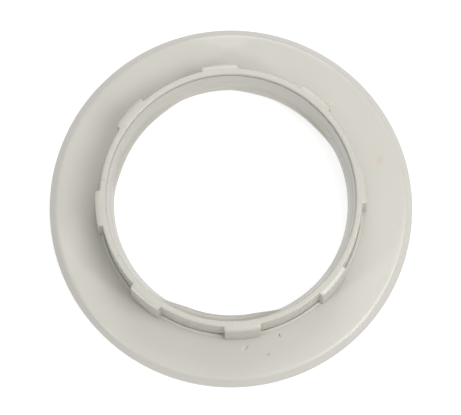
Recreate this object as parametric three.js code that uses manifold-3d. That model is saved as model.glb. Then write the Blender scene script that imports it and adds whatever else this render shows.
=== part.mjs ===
// A bolt-less toilet flange: a dished wall plate with a captive, internally threaded collar that screws
// on to a 110 mm soil pipe and spins in the plate. Millimetres, +Z up. The origin is on the bore's axis,
// at the underside of the gasket, which is the face that lies on the floor.
import * as THREE from "three";
import { mergeVertices } from "three/addons/utils/BufferGeometryUtils.js";
import Module from "manifold-3d";

const wasm = await Module();
wasm.setup();

// Driving sizes.
const FLANGE_RADIUS = 89; // a 7 in closet flange
const PLATE_TOP = 6.6;
const PLATE_THICKNESS = 3;
const COLLAR_RADIUS = 63.5;
const COLLAR_HEIGHT = 24.5; // above the plate
const BORE_TOP_RADIUS = 60.2; // the bore is a slight cone down to its throat
const THROAT_RADIUS = 57;
const RELIEF_RADIUS = 59; // of the wider bore under the throat
const LOCKING_CREST_RADIUS = 56.4;
const FOOT_CREST_RADIUS = 56; // the narrowest place; it clears a 110 mm pipe
const CLEARANCE = 0.3; // between touching pieces
const SMALL = 0.8; // edge rounding and chamfers

// Steps round the circle.
const ROUND_STEPS = 96;
const FULL_TURN = 2 * Math.PI;
const degrees = (angle) => THREE.MathUtils.degToRad(angle);

// The plate.
const HOLE_RADIUS = COLLAR_RADIUS + 0.5;
const RECESS_CEILING = PLATE_TOP - PLATE_THICKNESS;
const RIM_BOTTOM = 1.6;
const RIM_WIDTH = 4.5;
const RIM_BEVEL_WIDTH = 3;
const RIM_BEVEL_HEIGHT = 4;
const RIM_SHOULDER = 0.7; // how far the rounding between the flat top and the bevel reaches each way

// The washer between the plate and the collar's lugs.
const WASHER_INNER = COLLAR_RADIUS + CLEARANCE;
const WASHER_OUTER = 65.1;
const WASHER_BOTTOM = PLATE_TOP + CLEARANCE;
const WASHER_THICKNESS = 0.5;

// The collar.
const COLLAR_TOP = PLATE_TOP + COLLAR_HEIGHT;
const SKIRT_BOTTOM = 0.3;
const LIP_RADIUS = 60.4;
const LIP_SLOPE_WIDTH = 0.9;
const LIP_SLOPE_HEIGHT = 1.2;
const LIP_DEPTH = 1.8;
const UNDERCUT_RADIUS = 61.7; // a narrow groove right under the lip
const UNDERCUT_HEIGHT = 0.8;
const BORE_TOP = COLLAR_TOP - LIP_DEPTH - UNDERCUT_HEIGHT;
const THROAT_HEIGHT = PLATE_TOP + 5;
const RELIEF_HEIGHT = THROAT_HEIGHT - 1.8;
const LUG_COUNT = 8;
const LUG_OUTER = 66.3;
const LUG_DRAFT = 0.6; // how much nearer to the axis a lug's face is at its top
const LUG_ANGLE = degrees(15.6);
const FIRST_LUG = degrees(-5);
const LUG_BOTTOM = WASHER_BOTTOM + WASHER_THICKNESS + CLEARANCE;
const LUG_TOP = COLLAR_TOP - SMALL;
const LUG_ROOT = COLLAR_RADIUS - 1;
const LUG_EDGE = 1; // chamfer round the top of a lug's face

// The collar's interrupted thread: shallow ridges on one right-handed helix, with gaps between them. The
// locking ridge, near the mouth, and the lowest two, near the throat, stand further in than the others.
const THREAD_PITCH = 3.5;
const RIDGE_SPACING = degrees(84);
const RIDGE_ANGLE = degrees(54);
const LOCKING_RIDGE = degrees(-105);
const LOCKING_RIDGE_HEIGHT = 21.4;
const RIDGES_BELOW = 11;
const RIDGES_ABOVE = 1;
const RIDGE_DEPTH = 0.3;
const FOOT_RIDGES = 2;
const RIDGE_CREST_WIDTH = 1.2;
const RIDGE_FLANK = 1; // extra width at the root, on each side
const RIDGE_SINK = 0.6; // how far a ridge is sunk into the wall
const RIDGE_STEPS = 12;

// The split ring that snaps on to the collar under the plate.
const RING_TOP = RECESS_CEILING - CLEARANCE;
const RING_THICKNESS = 1.9;
const RING_OUTER = 67;
const GROOVE_RADIUS = 61.2;
const RING_INNER = GROOVE_RADIUS + CLEARANCE;
const RING_GAP = degrees(6);
const RING_GAP_AT = degrees(130);

// The gasket in the plate's recess.
const GASKET_INNER = 68.5;
const GASKET_OUTER = 83;
const GASKET_TOP = RECESS_CEILING - CLEARANCE;
const GASKET_LAND = 1.5;
const GASKET_RIB_DEPTH = 1;
const GASKET_RIBS = 4;

const plastic = (name, colour, roughness) =>
  new THREE.MeshStandardMaterial({ name, color: colour, roughness, metalness: 0 });
const ivoryPlastic = plastic("ivory_plastic", 0xcdcbc1, 0.45);
const whiteAcetal = plastic("white_acetal", 0xd6d5cf, 0.35);
const blackRubber = plastic("black_rubber", 0x26262a, 0.8);

// Turns an outline of [radius, height] points, anticlockwise with +Z up, round the Z axis.
function turned(outline) {
  const closed = [...outline, outline[0]].map(([radius, height]) => new THREE.Vector2(radius, height));
  return new THREE.LatheGeometry(closed, ROUND_STEPS).rotateX(Math.PI / 2);
}

// Points on a quarter of an ellipse about [radius, height], from angle start to angle end.
function arc([radius, height], width, rise, start, end, steps = 5) {
  return Array.from({ length: steps + 1 }, (_, i) => {
    const angle = start + ((end - start) * i) / steps;
    return [radius + width * Math.cos(angle), height + rise * Math.sin(angle)];
  });
}

// A closed geometry as a solid that can be joined and cut.
function solid(geometry) {
  const bare = geometry.index ? geometry.toNonIndexed() : geometry.clone();
  bare.deleteAttribute("normal");
  bare.deleteAttribute("uv");
  const merged = mergeVertices(bare, 1e-4);
  return new wasm.Manifold(
    new wasm.Mesh({
      numProp: 3,
      vertProperties: merged.attributes.position.array,
      triVerts: new Uint32Array(merged.index.array),
    }),
  );
}

function geometryOf(made) {
  const { vertProperties, triVerts } = made.getMesh();
  const geometry = new THREE.BufferGeometry();
  geometry.setAttribute("position", new THREE.BufferAttribute(vertProperties, 3));
  geometry.setIndex(new THREE.BufferAttribute(triVerts, 1));
  geometry.computeVertexNormals();
  return geometry;
}

// A block that follows the circle: a flat ring sector, extruded up from bottom to top.
function sector(inner, outer, middle, angle, bottom, top) {
  const shape = new THREE.Shape();
  shape.absarc(0, 0, outer, middle - angle / 2, middle + angle / 2, false);
  shape.absarc(0, 0, inner, middle + angle / 2, middle - angle / 2, true);
  shape.closePath();
  const settings = { depth: top - bottom, bevelEnabled: false, curveSegments: 6 };
  return new THREE.ExtrudeGeometry(shape, settings).translate(0, 0, bottom);
}

function flangePlate() {
  const bevelStart = FLANGE_RADIUS - RIM_BEVEL_WIDTH;
  const bevelFoot = PLATE_TOP - RIM_BEVEL_HEIGHT;
  const slope = RIM_BEVEL_HEIGHT / RIM_BEVEL_WIDTH;
  return turned([
    [FLANGE_RADIUS - RIM_WIDTH, RIM_BOTTOM],
    [FLANGE_RADIUS - SMALL / 2, RIM_BOTTOM],
    [FLANGE_RADIUS, RIM_BOTTOM + SMALL / 2],
    [FLANGE_RADIUS, bevelFoot],
    [bevelStart + RIM_SHOULDER, PLATE_TOP - slope * RIM_SHOULDER],
    [bevelStart + RIM_SHOULDER / 3, PLATE_TOP - (slope * RIM_SHOULDER) / 4],
    [bevelStart - RIM_SHOULDER, PLATE_TOP],
    [HOLE_RADIUS, PLATE_TOP],
    [HOLE_RADIUS, RECESS_CEILING],
    [FLANGE_RADIUS - RIM_WIDTH, RECESS_CEILING],
  ]);
}

function slipWasher() {
  const top = WASHER_BOTTOM + WASHER_THICKNESS;
  return turned([
    [WASHER_INNER, WASHER_BOTTOM],
    [WASHER_OUTER, WASHER_BOTTOM],
    [WASHER_OUTER, top],
    [WASHER_INNER, top],
  ]);
}

// The collar's wall: the lip and undercut at its top, the ring's groove below, and the bore.
function collarWall() {
  return turned([
    [RELIEF_RADIUS + SMALL, SKIRT_BOTTOM],
    [COLLAR_RADIUS, SKIRT_BOTTOM],
    [COLLAR_RADIUS, RING_TOP - RING_THICKNESS - CLEARANCE],
    [GROOVE_RADIUS, RING_TOP - RING_THICKNESS - CLEARANCE],
    [GROOVE_RADIUS, RECESS_CEILING],
    [COLLAR_RADIUS, RECESS_CEILING],
    [COLLAR_RADIUS, COLLAR_TOP - SMALL],
    ...arc([COLLAR_RADIUS - SMALL, COLLAR_TOP - SMALL], SMALL, SMALL, Math.PI / 6, Math.PI / 2, 2),
    [LIP_RADIUS + LIP_SLOPE_WIDTH, COLLAR_TOP],
    [LIP_RADIUS, COLLAR_TOP - LIP_SLOPE_HEIGHT],
    [LIP_RADIUS, COLLAR_TOP - LIP_DEPTH],
    [UNDERCUT_RADIUS, COLLAR_TOP - LIP_DEPTH],
    [UNDERCUT_RADIUS, BORE_TOP],
    [BORE_TOP_RADIUS, BORE_TOP],
    [THROAT_RADIUS, THROAT_HEIGHT],
    [RELIEF_RADIUS, RELIEF_HEIGHT],
    [RELIEF_RADIUS, SKIRT_BOTTOM + SMALL],
  ]);
}

// The ring that the lugs are cut from. Its outside leans in towards its chamfered top.
function lugRing() {
  return turned([
    [LUG_ROOT, LUG_BOTTOM],
    [LUG_OUTER, LUG_BOTTOM],
    [LUG_OUTER - LUG_DRAFT, LUG_TOP - LUG_EDGE],
    [LUG_OUTER - LUG_DRAFT - LUG_EDGE, LUG_TOP],
    [LUG_ROOT, LUG_TOP],
  ]);
}

// The middle of one ridge's foot: a stretch of helix that starts on the +X axis.
class RidgePath extends THREE.Curve {
  constructor(radius) {
    super();
    this.radius = radius;
  }
  getPoint(t, target = new THREE.Vector3()) {
    const angle = t * RIDGE_ANGLE;
    const rise = (THREAD_PITCH * (angle - RIDGE_ANGLE / 2)) / FULL_TURN;
    return target.set(this.radius * Math.cos(angle), this.radius * Math.sin(angle), rise);
  }
}

// One ridge: its section's x points in towards the axis, and its y points up.
function ridge(number) {
  const middle = LOCKING_RIDGE + number * RIDGE_SPACING;
  const height = LOCKING_RIDGE_HEIGHT + (THREAD_PITCH * number * RIDGE_SPACING) / FULL_TURN;
  const root = THREE.MathUtils.mapLinear(height, THROAT_HEIGHT, BORE_TOP, THROAT_RADIUS, BORE_TOP_RADIUS);
  let depth = RIDGE_DEPTH;
  if (number === 0) depth = root - LOCKING_CREST_RADIUS;
  if (number < FOOT_RIDGES - RIDGES_BELOW) depth = root - FOOT_CREST_RADIUS;
  const rootHalf = RIDGE_CREST_WIDTH / 2 + RIDGE_FLANK;
  const section = new THREE.Shape([
    new THREE.Vector2(-RIDGE_SINK, -rootHalf),
    new THREE.Vector2(depth, -RIDGE_CREST_WIDTH / 2),
    new THREE.Vector2(depth, RIDGE_CREST_WIDTH / 2),
    new THREE.Vector2(-RIDGE_SINK, rootHalf),
  ]);
  return new THREE.ExtrudeGeometry(section, { steps: RIDGE_STEPS, extrudePath: new RidgePath(root) })
    .rotateZ(middle - RIDGE_ANGLE / 2)
    .translate(0, 0, height);
}

function lockingCollar() {
  let collar = solid(collarWall());
  const lugs = solid(lugRing());
  for (let i = 0; i < LUG_COUNT; i++) {
    const middle = FIRST_LUG + (i * FULL_TURN) / LUG_COUNT;
    const cutter = sector(LUG_ROOT - 1, LUG_OUTER + 1, middle, LUG_ANGLE, LUG_BOTTOM - 1, LUG_TOP + 1);
    collar = collar.add(lugs.intersect(solid(cutter)));
  }
  for (let number = -RIDGES_BELOW; number <= RIDGES_ABOVE; number++) {
    collar = collar.add(solid(ridge(number)));
  }
  return geometryOf(collar);
}

function retainingRing() {
  const bottom = RING_TOP - RING_THICKNESS;
  const whole = turned([
    [RING_INNER, bottom],
    [RING_OUTER, bottom],
    [RING_OUTER, RING_TOP],
    [RING_INNER, RING_TOP],
  ]);
  const split = sector(RING_INNER - 1, RING_OUTER + 1, RING_GAP_AT, RING_GAP, bottom - 1, RING_TOP + 1);
  return geometryOf(solid(whole).subtract(solid(split)));
}

// The gasket is flat on top and has ribs underneath, which all go round it.
function sealingGasket() {
  const outline = [];
  const ribSpacing = (GASKET_OUTER - GASKET_INNER) / GASKET_RIBS;
  for (let i = 0; i < GASKET_RIBS; i++) {
    const start = GASKET_INNER + i * ribSpacing;
    outline.push(
      [start, GASKET_RIB_DEPTH],
      [start + (ribSpacing - GASKET_LAND) / 2, 0],
      [start + (ribSpacing + GASKET_LAND) / 2, 0],
    );
  }
  outline.push([GASKET_OUTER, GASKET_RIB_DEPTH], [GASKET_OUTER, GASKET_TOP], [GASKET_INNER, GASKET_TOP]);
  return turned(outline);
}

const toiletFlange = new THREE.Group();

function place(name, geometry, material) {
  const mesh = new THREE.Mesh(geometry, material);
  mesh.name = name;
  toiletFlange.add(mesh);
}

place("flange_plate", flangePlate(), ivoryPlastic);
place("locking_collar", lockingCollar(), ivoryPlastic);
place("slip_washer", slipWasher(), whiteAcetal);
place("retaining_ring", retainingRing(), whiteAcetal);
place("sealing_gasket", sealingGasket(), blackRubber);

export default toiletFlange;
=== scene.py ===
"""A toilet flange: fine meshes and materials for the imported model's pieces, a floor, lights and a camera.

Lengths are in metres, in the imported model's frame: +Z up, with the origin on the bore's axis, level with the
underside of the gasket.
"""

import math

import bpy
import numpy as np
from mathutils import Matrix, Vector


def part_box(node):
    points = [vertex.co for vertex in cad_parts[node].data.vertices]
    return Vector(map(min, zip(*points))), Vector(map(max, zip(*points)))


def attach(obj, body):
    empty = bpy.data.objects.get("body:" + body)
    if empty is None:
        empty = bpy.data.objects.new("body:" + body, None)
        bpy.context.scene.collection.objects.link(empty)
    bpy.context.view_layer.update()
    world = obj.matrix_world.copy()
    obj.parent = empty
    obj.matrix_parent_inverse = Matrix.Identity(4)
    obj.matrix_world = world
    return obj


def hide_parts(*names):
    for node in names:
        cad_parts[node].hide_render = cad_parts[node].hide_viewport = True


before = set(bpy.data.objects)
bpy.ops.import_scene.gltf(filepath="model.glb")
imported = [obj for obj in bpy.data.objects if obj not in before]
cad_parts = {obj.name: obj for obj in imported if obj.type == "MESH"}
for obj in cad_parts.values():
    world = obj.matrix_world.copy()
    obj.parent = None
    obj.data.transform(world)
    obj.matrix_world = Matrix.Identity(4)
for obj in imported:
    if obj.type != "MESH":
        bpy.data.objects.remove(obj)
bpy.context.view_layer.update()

MM = 0.001
TURN = 2 * math.pi

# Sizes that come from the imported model.
PLATE_LOW, PLATE_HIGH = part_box("flange_plate")
COLLAR_LOW, COLLAR_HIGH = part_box("locking_collar")
WASHER_LOW, WASHER_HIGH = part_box("slip_washer")
RING_LOW, RING_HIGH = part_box("retaining_ring")
GASKET_LOW, GASKET_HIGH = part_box("sealing_gasket")

PLATE_RADIUS = PLATE_HIGH.x
PLATE_TOP = PLATE_HIGH.z
PLATE_BOTTOM = PLATE_LOW.z
COLLAR_TOP = COLLAR_HIGH.z
COLLAR_BOTTOM = COLLAR_LOW.z
COLLAR_RADIUS = 63.5 * MM
LUG_RADIUS = 66.3 * MM
CLEARANCE = 0.3 * MM
HOLE_RADIUS = COLLAR_RADIUS + 0.5 * MM
RECESS_CEILING = PLATE_TOP - 3 * MM

# The plate's rim.
RIM_WIDTH = 4.5 * MM
RIM_BEVEL_WIDTH = 3 * MM
RIM_BEVEL_HEIGHT = 4 * MM

# The collar's lip, bore, lugs and groove.
LIP_RADIUS = 60.4 * MM
LIP_DEPTH = 1.8 * MM
UNDERCUT_RADIUS = 61.7 * MM
BORE_TOP = COLLAR_TOP - LIP_DEPTH - 0.8 * MM
BORE_TOP_RADIUS = 60.2 * MM
THROAT_RADIUS = 57 * MM
THROAT_HEIGHT = PLATE_TOP + 5 * MM
RELIEF_RADIUS = 59 * MM
RELIEF_HEIGHT = THROAT_HEIGHT - 1.8 * MM
LUG_COUNT = 8
LUG_DRAFT = 0.6 * MM
LUG_ANGLE = math.radians(15.6)
FIRST_LUG = math.radians(-5)
LUG_BOTTOM = WASHER_HIGH.z + CLEARANCE
GROOVE_RADIUS = 61.2 * MM
GROOVE_BOTTOM = RING_LOW.z - CLEARANCE

# The collar's interrupted thread. The locking ridge and the lowest ones stand further in than the others.
LOCKING_CREST_RADIUS = 56.4 * MM
FOOT_CREST_RADIUS = 56 * MM
THREAD_PITCH = 3.5 * MM
RIDGE_SPACING = math.radians(84)
LOCKING_RIDGE = math.radians(-105)
LOCKING_RIDGE_HEIGHT = 21.4 * MM
RIDGES_BELOW = 11
RIDGES_ABOVE = 1
RIDGE_DEPTH = 0.3 * MM
FOOT_RIDGES = 2
RIDGE_HALF_WIDTH = 2.2 * MM
RIDGE_ANGLE = math.radians(54)
RIDGE_REACH = 0.66  # how far a ridge fades out from its middle, as a share of its angle
SHALLOW_FADE = math.radians(14)
DEEP_FADE = math.radians(20)

# Roundings and steps of the collar's mesh.
LUG_EDGE = 1 * MM
LUG_FILLET = 0.3 * MM
SOFT_STEP = 0.1 * MM
COLLAR_EDGE = 0.7 * MM
LOW_EDGE = 0.4 * MM
BORE_STEP = 0.42 * MM


def smooth(x):
    """Goes smoothly from 0 to 1 as x does."""
    x = np.clip(x, 0, 1)
    return x * x * (3 - 2 * x)


def around(angle):
    """The angle, brought between minus and plus half a turn."""
    return (angle + math.pi) % TURN - math.pi


def arc(centre, width, height, start, end, steps=6):
    """Points on an ellipse about centre, from angle start to angle end in degrees."""
    angles = np.radians(np.linspace(start, end, steps + 1))
    return [(centre[0] + width * math.cos(a), centre[1] + height * math.sin(a)) for a in angles]


def line(start, end, step):
    """Points from start up to but not including end, about a step apart."""
    count = max(1, round(math.dist(start, end) / step))
    return [tuple(np.add(start, np.subtract(end, start) * i / count)) for i in range(count)]


def rounded(corners, step, arc_steps=5):
    """A closed outline through corners of (radius, height, rounding), with a point about every step."""
    places = [np.array(c[:2], float) for c in corners]
    bends = []
    for i, corner in enumerate(places):
        before = places[i - 1] - corner
        after = places[(i + 1) % len(places)] - corner
        cut = min(corners[i][2], np.linalg.norm(before) * 0.45, np.linalg.norm(after) * 0.45)
        start = corner + before / np.linalg.norm(before) * cut
        end = corner + after / np.linalg.norm(after) * cut
        t = np.linspace(0, 1, arc_steps + 1)[:, None]
        bends.append((1 - t) ** 2 * start + 2 * t * (1 - t) * corner + t**2 * end)
    points = []
    for i, bend in enumerate(bends):
        following = bends[(i + 1) % len(bends)][0]
        points += [tuple(p) for p in bend[:-1]] + line(bend[-1], following, step)
    return points


def ring_mesh(name, radii, heights, azimuths, closed=True):
    """A swept ring. radii and heights have a row for each azimuth and a column for each outline point.

    The outline runs anticlockwise with +Z up, and the azimuths rise. An open ring gets end faces.
    """
    rows, columns = radii.shape
    x = radii * np.cos(azimuths)[:, None]
    y = radii * np.sin(azimuths)[:, None]
    vertices = np.stack([x, y, heights], -1).reshape(-1, 3)
    faces = []
    for i in range(rows if closed else rows - 1):
        this, following = i * columns, (i + 1) % rows * columns
        for j in range(columns):
            k = (j + 1) % columns
            faces.append((this + j, following + j, following + k, this + k))
    if not closed:
        faces.append(tuple(range(columns)))
        faces.append(tuple(reversed(range((rows - 1) * columns, rows * columns))))
    mesh = bpy.data.meshes.new(name)
    mesh.from_pydata(vertices.tolist(), [], faces)
    mesh.validate()
    mesh.update()
    mesh.shade_smooth()
    piece = bpy.data.objects.new(name, mesh)
    bpy.context.scene.collection.objects.link(piece)
    return piece


def turned(name, outline, azimuths, closed=True):
    """A ring with the same outline all the way round."""
    points = np.array(outline)
    radii = np.repeat(points[None, :, 0], len(azimuths), 0)
    heights = np.repeat(points[None, :, 1], len(azimuths), 0)
    return ring_mesh(name, radii, heights, azimuths, closed)


def even_azimuths(count=360):
    return np.arange(count) * TURN / count


def stand_for(piece, node, body, material):
    """The piece takes the CAD node's place on its body."""
    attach(piece, body)
    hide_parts(node)
    piece.data.materials.append(material)


# ---------------------------------------------------------------- pieces


def flange_plate():
    inner_rim = PLATE_RADIUS - RIM_WIDTH
    corners = [
        (inner_rim, PLATE_BOTTOM, 0.3 * MM),
        (PLATE_RADIUS, PLATE_BOTTOM, 0.45 * MM),
        (PLATE_RADIUS, PLATE_TOP - RIM_BEVEL_HEIGHT, 0.45 * MM),
        (PLATE_RADIUS - RIM_BEVEL_WIDTH, PLATE_TOP, 1.5 * MM),
        (HOLE_RADIUS, PLATE_TOP, 0.3 * MM),
        (HOLE_RADIUS, RECESS_CEILING, 0.2 * MM),
        (inner_rim, RECESS_CEILING, 0.6 * MM),
    ]
    return turned("flange_plate_skin", rounded(corners, 1.5 * MM, 8), even_azimuths(480))


def lug_azimuths():
    """Azimuths that are close together at the sides of the lugs, and even between them."""
    offsets = np.array([-1.2, -0.8, -0.5, -0.3, -0.15, -0.05, 0.05, 0.15, 0.3, 0.5, 0.75, 1.0]) * MM
    near_sides = []
    for i in range(LUG_COUNT):
        middle = FIRST_LUG + i * TURN / LUG_COUNT
        for side in (-1, 1):
            near_sides.append(middle + side * (LUG_ANGLE / 2 - offsets / LUG_RADIUS))
    clustered = np.concatenate(near_sides) % TURN
    even = even_azimuths(360)
    gaps = np.abs(around(even[:, None] - clustered[None, :])).min(1)
    return np.sort(np.concatenate([even[gaps > math.radians(0.5)], clustered]))


def edge_drop(inside):
    """How far a lug's rounded edge drops, by the distance inside that edge."""
    from_centre = np.clip(LUG_EDGE - inside, 0, LUG_EDGE)
    return LUG_EDGE - np.sqrt(np.maximum(LUG_EDGE**2 - from_centre**2, 0))


def lug_rise(azimuth, height):
    """How far the outside stands out from the collar's wall. The lugs lean in towards their tops."""
    draft = LUG_DRAFT * np.clip((height - LUG_BOTTOM) / (COLLAR_TOP - LUG_BOTTOM), 0, 1)
    full = LUG_RADIUS - COLLAR_RADIUS - draft
    nearest = around((azimuth - FIRST_LUG) % (TURN / LUG_COUNT) * LUG_COUNT) / LUG_COUNT
    inside = (LUG_ANGLE / 2 - np.abs(nearest)) * LUG_RADIUS
    side = np.clip(inside / SOFT_STEP + 0.5, 0, 1)
    foot = np.clip((height - LUG_BOTTOM) / SOFT_STEP + 0.5, 0, 1)
    rise = (full - edge_drop(inside) - edge_drop(COLLAR_TOP - height)) * side * foot
    fillet_reach = 0.35 * MM
    fillet = LUG_FILLET * np.exp(-np.maximum(-inside, 0) / fillet_reach) * (1 - side)
    return np.maximum(rise, fillet * foot)


def bore_radius(height):
    """The bore is a slight cone above its throat."""
    share = (height - THROAT_HEIGHT) / (BORE_TOP - THROAT_HEIGHT)
    return THROAT_RADIUS + (BORE_TOP_RADIUS - THROAT_RADIUS) * share


def thread_rise(azimuth, height):
    """How far the thread stands in from the bore's wall: ridges on one helix, each with faded ends."""
    rise = np.zeros(np.broadcast(azimuth, height).shape)
    for number in range(-RIDGES_BELOW, RIDGES_ABOVE + 1):
        along = around(azimuth - LOCKING_RIDGE - number * RIDGE_SPACING)
        middle = LOCKING_RIDGE_HEIGHT + THREAD_PITCH * number * RIDGE_SPACING / TURN
        level = middle + THREAD_PITCH * along / TURN
        depth, fade = RIDGE_DEPTH, SHALLOW_FADE
        if number == 0:
            depth, fade = bore_radius(middle) - LOCKING_CREST_RADIUS, DEEP_FADE
        if number < FOOT_RIDGES - RIDGES_BELOW:
            depth, fade = bore_radius(middle) - FOOT_CREST_RADIUS, DEEP_FADE
        ends = smooth((RIDGE_ANGLE * RIDGE_REACH - np.abs(along)) / fade)
        across = 1 - np.abs(height - level) / RIDGE_HALF_WIDTH
        rise = np.maximum(rise, depth * ends * smooth(across * 1.5))
    return rise


def collar_skirt():
    """The outside below the lugs: the foot's edge, the retaining ring's groove and the wall above it."""
    tiny = 0.1 * MM
    outline = [(COLLAR_RADIUS, COLLAR_BOTTOM + LOW_EDGE), (COLLAR_RADIUS, GROOVE_BOTTOM - tiny / 2)]
    outline += [(COLLAR_RADIUS - tiny, GROOVE_BOTTOM), (GROOVE_RADIUS + tiny, GROOVE_BOTTOM)]
    outline += [(GROOVE_RADIUS, GROOVE_BOTTOM + tiny), (GROOVE_RADIUS, RECESS_CEILING - tiny)]
    outline += [(GROOVE_RADIUS + tiny, RECESS_CEILING), (COLLAR_RADIUS - tiny, RECESS_CEILING)]
    wall_top = LUG_BOTTOM - 0.3 * MM
    return outline + line((COLLAR_RADIUS, RECESS_CEILING + tiny), (COLLAR_RADIUS, wall_top), 1.2 * MM)


def collar_wall():
    """The outside beside the lugs, with points close together at the lugs' feet."""
    feet = np.array([-0.3, -0.1, -0.04, 0.04, 0.1, 0.4]) * MM
    outline = [(COLLAR_RADIUS, LUG_BOTTOM + foot) for foot in feet]
    start = (COLLAR_RADIUS, LUG_BOTTOM + 1 * MM)
    return outline + line(start, (COLLAR_RADIUS, COLLAR_TOP - COLLAR_EDGE), 1.5 * MM)


def collar_shoulder():
    return arc((COLLAR_RADIUS - COLLAR_EDGE, COLLAR_TOP - COLLAR_EDGE), COLLAR_EDGE, COLLAR_EDGE, 0, 90, 6)


def collar_lip():
    """The flat lip, its rounded inner edge and the undercut below it."""
    slope_width, slope_height = 0.8 * MM, 1.2 * MM
    start = (COLLAR_RADIUS - 1.1 * MM, COLLAR_TOP)
    outline = line(start, (LIP_RADIUS + slope_width + 0.2 * MM, COLLAR_TOP), 0.6 * MM)
    slope_centre = (LIP_RADIUS + slope_width, COLLAR_TOP - slope_height)
    outline += arc(slope_centre, slope_width, slope_height, 90, 180, 8)
    lip_bottom = COLLAR_TOP - LIP_DEPTH
    outline += [(LIP_RADIUS + 0.1 * MM, lip_bottom), (UNDERCUT_RADIUS, lip_bottom)]
    return outline + [(UNDERCUT_RADIUS, BORE_TOP), (BORE_TOP_RADIUS + 0.1 * MM, BORE_TOP)]


def collar_bore():
    """The bore's cone down to its throat, and the slope out to the wider bore below."""
    cone = line((BORE_TOP_RADIUS, BORE_TOP - 0.1 * MM), (THROAT_RADIUS, THROAT_HEIGHT), BORE_STEP)
    return cone + line((THROAT_RADIUS, THROAT_HEIGHT), (RELIEF_RADIUS, RELIEF_HEIGHT), BORE_STEP)


def collar_foot():
    """The wider bore below the throat, and the collar's flat foot."""
    outline = [(RELIEF_RADIUS, RELIEF_HEIGHT), (RELIEF_RADIUS, COLLAR_BOTTOM + 0.8 * MM)]
    outline += [(RELIEF_RADIUS + 0.3 * MM, COLLAR_BOTTOM + 0.2 * MM)]
    outline += [(RELIEF_RADIUS + 0.8 * MM, COLLAR_BOTTOM), (COLLAR_RADIUS - LOW_EDGE, COLLAR_BOTTOM)]
    return outline + [(COLLAR_RADIUS - 0.1 * MM, COLLAR_BOTTOM + 0.1 * MM)]


def locking_collar():
    """The plain collar, swept round, with the lugs raised on its outside and the thread in its bore."""
    outside = collar_skirt() + collar_wall()
    shoulder = collar_shoulder()
    lip = collar_lip()
    bore = collar_bore()
    points = np.array(outside + shoulder + lip + bore + collar_foot())
    azimuths = lug_azimuths()
    radii = np.repeat(points[None, :, 0], len(azimuths), 0)
    heights = np.repeat(points[None, :, 1], len(azimuths), 0)
    column = azimuths[:, None]
    bore_start = len(outside) + len(shoulder) + len(lip)
    lugs = slice(0, len(outside) + len(shoulder))
    threads = slice(bore_start, bore_start + len(bore))
    share = np.ones(lugs.stop)
    share[len(outside) :] = np.linspace(1, 0.55, len(shoulder))
    share *= points[lugs, 1] > RECESS_CEILING + 0.05 * MM
    radii[:, lugs] += lug_rise(column, heights[:, lugs]) * share
    radii[:, threads] -= thread_rise(column, heights[:, threads])
    return ring_mesh("locking_collar_skin", radii, heights, azimuths)


def slip_washer():
    """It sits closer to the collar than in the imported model, so that no wide gap shows at the foot."""
    inner, outer = COLLAR_RADIUS + CLEARANCE / 3, WASHER_HIGH.x
    edge = 0.22 * MM
    corners = [
        (inner, WASHER_LOW.z, edge),
        (outer, WASHER_LOW.z, edge),
        (outer, WASHER_HIGH.z, edge),
        (inner, WASHER_HIGH.z, edge),
    ]
    return turned("slip_washer_skin", rounded(corners, 0.5 * MM), even_azimuths())


def retaining_ring():
    gap, gap_at = math.radians(6), math.radians(130)
    inner, outer = GROOVE_RADIUS + CLEARANCE, RING_HIGH.x
    edge = 0.3 * MM
    corners = [
        (inner, RING_LOW.z, edge),
        (outer, RING_LOW.z, edge),
        (outer, RING_HIGH.z, edge),
        (inner, RING_HIGH.z, edge),
    ]
    azimuths = np.linspace(gap_at + gap / 2, gap_at + TURN - gap / 2, 360)
    return turned("retaining_ring_skin", rounded(corners, 0.8 * MM), azimuths, closed=False)


def sealing_gasket():
    ribs = 4
    inner, outer = 68.5 * MM, GASKET_HIGH.x
    depth = 1 * MM
    radii = np.linspace(inner + 0.3 * MM, outer - 0.3 * MM, 16 * ribs + 1)
    phase = (radii - inner) / (outer - inner) * ribs * TURN
    underside = depth * np.clip(0.5 + 0.75 * np.cos(phase), 0, 1)
    outline = list(zip(radii, GASKET_LOW.z + underside))
    outline += arc((outer - 0.3 * MM, GASKET_LOW.z + depth + 0.3 * MM), 0.3 * MM, 0.3 * MM, -60, 0, 3)
    outline += arc((outer - 0.3 * MM, GASKET_HIGH.z - 0.3 * MM), 0.3 * MM, 0.3 * MM, 0, 90, 3)
    outline += line((outer - 1 * MM, GASKET_HIGH.z), (inner + 1 * MM, GASKET_HIGH.z), 3 * MM)
    outline += arc((inner + 0.3 * MM, GASKET_HIGH.z - 0.3 * MM), 0.3 * MM, 0.3 * MM, 90, 180, 3)
    outline += arc((inner + 0.3 * MM, GASKET_LOW.z + depth + 0.3 * MM), 0.3 * MM, 0.3 * MM, 180, 240, 3)
    return turned("sealing_gasket_skin", outline, even_azimuths(360))


# ---------------------------------------------------------------- materials


def new_material(name, colour, roughness):
    """A node material with its principled shader, and a maker for more nodes."""
    material = bpy.data.materials.new(name)
    material.use_nodes = True
    nodes, links = material.node_tree.nodes, material.node_tree.links
    shader = nodes["Principled BSDF"]
    shader.inputs["Base Color"].default_value = (*colour, 1)
    shader.inputs["Roughness"].default_value = roughness

    def node(kind, **values):
        made = nodes.new(kind)
        for key, value in values.items():
            made.inputs[key.title()].default_value = value
        return made

    return material, shader, node, links.new


def at(azimuth, radius, height):
    """A place from its azimuth in degrees and its radius and height."""
    angle = math.radians(azimuth)
    return Vector((radius * math.cos(angle), radius * math.sin(angle), height))


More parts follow.
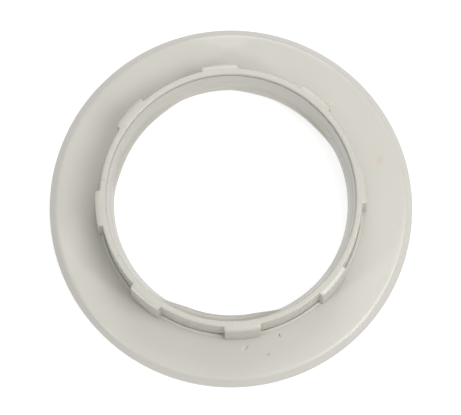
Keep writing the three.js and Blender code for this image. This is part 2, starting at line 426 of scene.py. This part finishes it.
# Small marks of use and moulding: place, turn in degrees, half sizes along and across, colour and strength.
PLATE_MARKS = [
    (at(-79.7, 68.3 * MM, PLATE_TOP), -75, (1.1 * MM, 0.35 * MM), (0.05, 0.045, 0.04), 0.85),
    (at(-93.6, 70.4 * MM, PLATE_TOP), 55, (1.9 * MM, 0.4 * MM), (0.2, 0.19, 0.17), 0.6),
    (at(-95.2, 70.6 * MM, PLATE_TOP), 60, (1.4 * MM, 0.35 * MM), (0.68, 0.67, 0.63), 0.45),
    (at(-86.0, 75.6 * MM, PLATE_TOP), 0, (1.1 * MM, 0.9 * MM), (0.24, 0.23, 0.21), 0.5),
    (at(7.4, 76.6 * MM, PLATE_TOP), 60, (2.8 * MM, 1.8 * MM), (0.5, 0.28, 0.24), 0.3),
    (at(-50.5, 69.7 * MM, PLATE_TOP), 20, (1.5 * MM, 1.0 * MM), (0.42, 0.4, 0.34), 0.35),
    (at(35.8, 71.5 * MM, PLATE_TOP), 45, (1.0 * MM, 0.3 * MM), (0.66, 0.65, 0.6), 0.5),
    (at(37.3, 86.3 * MM, PLATE_TOP), 70, (0.8 * MM, 0.3 * MM), (0.25, 0.27, 0.24), 0.6),
]
COLLAR_MARKS = [
    (at(162.3, 62.0 * MM, COLLAR_TOP), 10, (0.6 * MM, 0.35 * MM), (0.2, 0.19, 0.17), 0.7),
]


def paint_undercut_shade(node, link, place, tint):
    """Paints shade into the narrow groove under the collar's lip: a dark colour that stands in for the
    groove's shadow.
    """
    axes = node("ShaderNodeSeparateXYZ")
    link(place, axes.inputs["Vector"])
    flat = node("ShaderNodeCombineXYZ")
    link(axes.outputs["X"], flat.inputs["X"])
    link(axes.outputs["Y"], flat.inputs["Y"])
    radius = node("ShaderNodeVectorMath")
    radius.operation = "LENGTH"
    link(flat.outputs["Vector"], radius.inputs[0])
    lip_bottom = COLLAR_TOP - LIP_DEPTH
    limits = [
        (radius.outputs["Value"], BORE_TOP_RADIUS + 0.05 * MM, BORE_TOP_RADIUS + 0.5 * MM),
        (radius.outputs["Value"], UNDERCUT_RADIUS + 0.3 * MM, UNDERCUT_RADIUS + 0.1 * MM),
        (axes.outputs["Z"], BORE_TOP - 0.15 * MM, BORE_TOP - 0.05 * MM),
        (axes.outputs["Z"], lip_bottom + 0.1 * MM, lip_bottom),
    ]
    shares = []
    for value, outside, inside in limits:
        ramp = node("ShaderNodeMapRange")
        ramp.inputs["From Min"].default_value = outside
        ramp.inputs["From Max"].default_value = inside
        link(value, ramp.inputs["Value"])
        shares.append(ramp.outputs["Result"])
    together = shares[0]
    for share in shares[1:]:
        product = node("ShaderNodeMath")
        product.operation = "MULTIPLY"
        link(together, product.inputs[0])
        link(share, product.inputs[1])
        together = product.outputs["Value"]
    mix = node("ShaderNodeMixRGB")
    # Near-black painted shade for the undercut, in place of its shadow.
    mix.inputs["Color2"].default_value = (0.07, 0.062, 0.045, 1)
    link(together, mix.inputs["Fac"])
    link(tint, mix.inputs["Color1"])
    return mix.outputs["Color"]


def moulded_plastic(name, colour, roughness, marks=(), with_painted_undercut_shade=False):
    """Satin moulded plastic: a faint cloudy tone, fine texture, shallow flow waves and any marks, and on
    request a painted shade in the groove under the collar's lip.
    """
    material, shader, node, link = new_material(name, colour, roughness)
    place = node("ShaderNodeTexCoord").outputs["Object"]
    clouds = node("ShaderNodeTexNoise", scale=18, detail=4, roughness=0.55)
    link(place, clouds.inputs["Vector"])
    tones = node("ShaderNodeValToRGB")
    tones.color_ramp.elements[0].position = 0.3
    tones.color_ramp.elements[1].position = 0.7
    tones.color_ramp.elements[0].color = (*[c * 0.965 for c in colour], 1)
    tones.color_ramp.elements[1].color = (*[min(1, c * 1.015) for c in colour], 1)
    link(clouds.outputs["Fac"], tones.inputs["Fac"])
    tint = tones.outputs["Color"]
    for spot, turn, (along, across), shade, strength in marks:
        local = node("ShaderNodeMapping")
        local.vector_type = "TEXTURE"
        local.inputs["Location"].default_value = spot
        local.inputs["Rotation"].default_value = (0, 0, math.radians(turn))
        local.inputs["Scale"].default_value = (along, across, 1 * MM)
        link(place, local.inputs["Vector"])
        reach = node("ShaderNodeVectorMath")
        reach.operation = "LENGTH"
        link(local.outputs["Vector"], reach.inputs[0])
        mask = node("ShaderNodeMapRange")
        mask.inputs["From Min"].default_value = 1
        mask.inputs["From Max"].default_value = 0.5
        mask.inputs["To Max"].default_value = strength
        link(reach.outputs["Value"], mask.inputs["Value"])
        mix = node("ShaderNodeMixRGB")
        mix.inputs["Color2"].default_value = (*shade, 1)
        link(mask.outputs["Result"], mix.inputs["Fac"])
        link(tint, mix.inputs["Color1"])
        tint = mix.outputs["Color"]
    # Painted shade: the undercut under the collar's lip gets a dark colour in place of its shadow.
    if with_painted_undercut_shade:
        tint = paint_undercut_shade(node, link, place, tint)
    link(tint, shader.inputs["Base Color"])
    grain = node("ShaderNodeTexNoise", scale=900, detail=3, roughness=0.6)
    link(place, grain.inputs["Vector"])
    fine = node("ShaderNodeBump", strength=0.12, distance=0.00006)
    link(grain.outputs["Fac"], fine.inputs["Height"])
    waves = node("ShaderNodeTexNoise", scale=45, detail=2, roughness=0.5)
    link(place, waves.inputs["Vector"])
    broad = node("ShaderNodeBump", strength=0.2, distance=0.0003)
    link(waves.outputs["Fac"], broad.inputs["Height"])
    link(fine.outputs["Normal"], broad.inputs["Normal"])
    link(broad.outputs["Normal"], shader.inputs["Normal"])
    shine = node("ShaderNodeMapRange")
    shine.inputs["To Min"].default_value = roughness - 0.05
    shine.inputs["To Max"].default_value = roughness + 0.07
    link(clouds.outputs["Fac"], shine.inputs["Value"])
    link(shine.outputs["Result"], shader.inputs["Roughness"])
    return material


def rubber(name):
    material, shader, node, link = new_material(name, (0.03, 0.03, 0.033), 0.7)
    place = node("ShaderNodeTexCoord").outputs["Object"]
    bloom = node("ShaderNodeTexNoise", scale=60, detail=5, roughness=0.6)
    link(place, bloom.inputs["Vector"])
    tones = node("ShaderNodeValToRGB")
    tones.color_ramp.elements[0].color = (0.022, 0.022, 0.024, 1)
    tones.color_ramp.elements[1].color = (0.055, 0.055, 0.058, 1)
    link(bloom.outputs["Fac"], tones.inputs["Fac"])
    link(tones.outputs["Color"], shader.inputs["Base Color"])
    grain = node("ShaderNodeTexNoise", scale=1500, detail=2, roughness=0.5)
    link(place, grain.inputs["Vector"])
    bump = node("ShaderNodeBump", strength=0.3, distance=0.0001)
    link(grain.outputs["Fac"], bump.inputs["Height"])
    link(bump.outputs["Normal"], shader.inputs["Normal"])
    return material


# ---------------------------------------------------------------- floor, lights and camera


def floor():
    """A plain pale floor, just under the gasket."""
    size = 4
    mesh = bpy.data.meshes.new("floor")
    corners = [(-size, -size, 0), (size, -size, 0), (size, size, 0), (-size, size, 0)]
    mesh.from_pydata(corners, [], [(0, 1, 2, 3)])
    plane = bpy.data.objects.new("floor", mesh)
    bpy.context.scene.collection.objects.link(plane)
    plane.location.z = GASKET_LOW.z - 0.1 * MM
    material, shader, _, _ = new_material("floor_paper", (0.35, 0.35, 0.35), 0.9)
    shader.inputs["Emission Color"].default_value = (1, 1, 1, 1)
    shader.inputs["Emission Strength"].default_value = 0.72
    mesh.materials.append(material)


# Name, azimuth and elevation in degrees, distance, size and power.
SOFT_LIGHTS = [
    ("ceiling", -60, 78, 2.4, 2.0, 14),
    ("far_fill", 70, 50, 1.0, 0.5, 3.5),
    ("key", -30, 64, 2.4, 0.9, 22.5),
    ("right_strip", -46, 38, 1.8, 0.16, 6.5),
    ("left_strip", -153, 38, 1.8, 0.18, 6),
]


def area_light(name, azimuth, elevation, distance, size, power):
    """A square soft light that looks at the origin."""
    light = bpy.data.lights.new(name, "AREA")
    light.shape = "SQUARE"
    light.size = size
    light.energy = power
    lamp = bpy.data.objects.new(name, light)
    bpy.context.scene.collection.objects.link(lamp)
    rise = math.radians(elevation)
    lamp.location = at(azimuth, math.cos(rise), math.sin(rise)) * distance
    lamp.rotation_euler = (-lamp.location).to_track_quat("-Z", "Y").to_euler()


def lights():
    world = bpy.data.worlds.new("studio")
    world.use_nodes = True
    world.node_tree.nodes["Background"].inputs["Color"].default_value = (1, 1, 1, 1)
    world.node_tree.nodes["Background"].inputs["Strength"].default_value = 0.46
    bpy.context.scene.world = world
    for settings in SOFT_LIGHTS:
        area_light(*settings)
    bpy.context.scene.view_settings.view_transform = "Standard"


def camera():
    """A long lens about 10 degrees off the bore's axis, from the near side."""
    tilt, swing, distance = math.radians(10.27), math.radians(-9.99), 1.735
    across, along = math.sin(tilt) * math.sin(swing), -math.sin(tilt) * math.cos(swing)
    back = Vector((across, along, math.cos(tilt)))
    lens = bpy.data.cameras.new("camera")
    lens.sensor_width = 36
    lens.lens = 276.8
    lens.shift_x = -0.0011
    lens.shift_y = -0.0037
    lens.clip_start = 0.1
    view = bpy.data.objects.new("camera", lens)
    bpy.context.scene.collection.objects.link(view)
    view.location = Vector((0, 0, PLATE_TOP)) + back * distance
    view.rotation_euler = (-back).to_track_quat("-Z", "Y").to_euler()
    bpy.context.scene.camera = view


PLATE_COLOUR = (0.453, 0.441, 0.4)
# The collar's colour is painted shade: a darker copy of the plate's plastic, so that the collar's raised top
# and lugs come out no brighter than the plate under these lights.
COLLAR_COLOUR_WITH_PAINTED_SHADE = (0.42, 0.405, 0.362)
plate_plastic = moulded_plastic("plate_ivory_plastic", PLATE_COLOUR, 0.3, PLATE_MARKS)
# The collar's plastic carries painted shade: its darker colour, and a dark band painted into the undercut
# under the lip.
collar_plastic_with_painted_shade = moulded_plastic("collar_ivory_plastic_painted_shade", COLLAR_COLOUR_WITH_PAINTED_SHADE, 0.27, COLLAR_MARKS, with_painted_undercut_shade=True)
acetal = moulded_plastic("white_acetal_plastic", (0.485, 0.473, 0.43), 0.33)
black_rubber = rubber("black_rubber")

camera()
floor()
lights()
stand_for(flange_plate(), "flange_plate", "flange", plate_plastic)
stand_for(locking_collar(), "locking_collar", "collar", collar_plastic_with_painted_shade)
stand_for(slip_washer(), "slip_washer", "washer", acetal)
stand_for(retaining_ring(), "retaining_ring", "collar", acetal)
stand_for(sealing_gasket(), "sealing_gasket", "flange", black_rubber)

bpy.context.view_layer.update()
